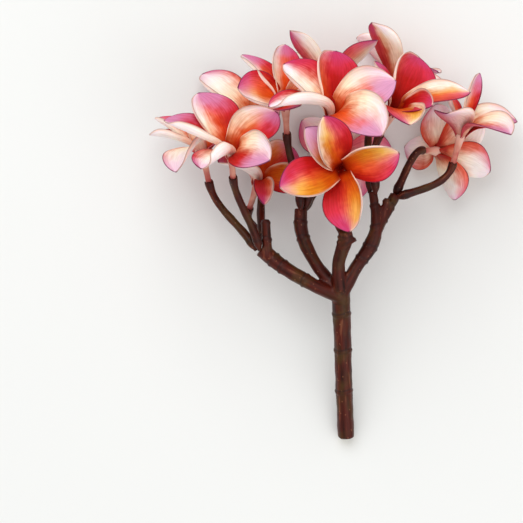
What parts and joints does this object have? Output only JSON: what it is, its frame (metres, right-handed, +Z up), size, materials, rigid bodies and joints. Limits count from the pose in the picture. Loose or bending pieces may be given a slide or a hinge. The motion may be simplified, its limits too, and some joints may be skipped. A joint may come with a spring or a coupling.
{
  "type": "plumeria flower cluster",
  "caption": "Cut cluster of plumeria flowers on a forked woody stalk, laid on its back, with curled, overlapping five-lobed flowers on slender pedicels.",
  "frame": {"origin": "on the surface that the cluster lies on, under the middle of its bounding box", "axes": "+Z up from the surface, +Y from the cut end of the stalk towards the flowers, +X to the right of the flowers as seen from above"},
  "size_m": [0.2242, 0.2556, 0.1213],
  "materials": {
    "petal": "satin",
    "stem": "satin"
  },
  "bodies": {
    "root": {"stalk": "stem", "corolla_front": "petal", "pedicel_front": "stem", "corolla_crown": "petal", "pedicel_crown": "stem", "corolla_left_front": "petal", "pedicel_left_front": "stem", "corolla_upper_left": "petal", "pedicel_upper_left": "stem", "corolla_upper_right": "petal", "pedicel_upper_right": "stem", "corolla_right": "petal", "pedicel_right": "stem", "corolla_low_left": "petal", "pedicel_low_left": "stem", "corolla_far_left": "petal", "pedicel_far_left": "stem", "corolla_top_left": "petal", "pedicel_top_left": "stem", "corolla_top": "petal", "pedicel_top": "stem", "corolla_top_right": "petal", "pedicel_top_right": "stem", "corolla_low_right": "petal", "pedicel_low_right": "stem", "corolla_back": "petal", "pedicel_back": "stem"}
  },
  "joints": []
}
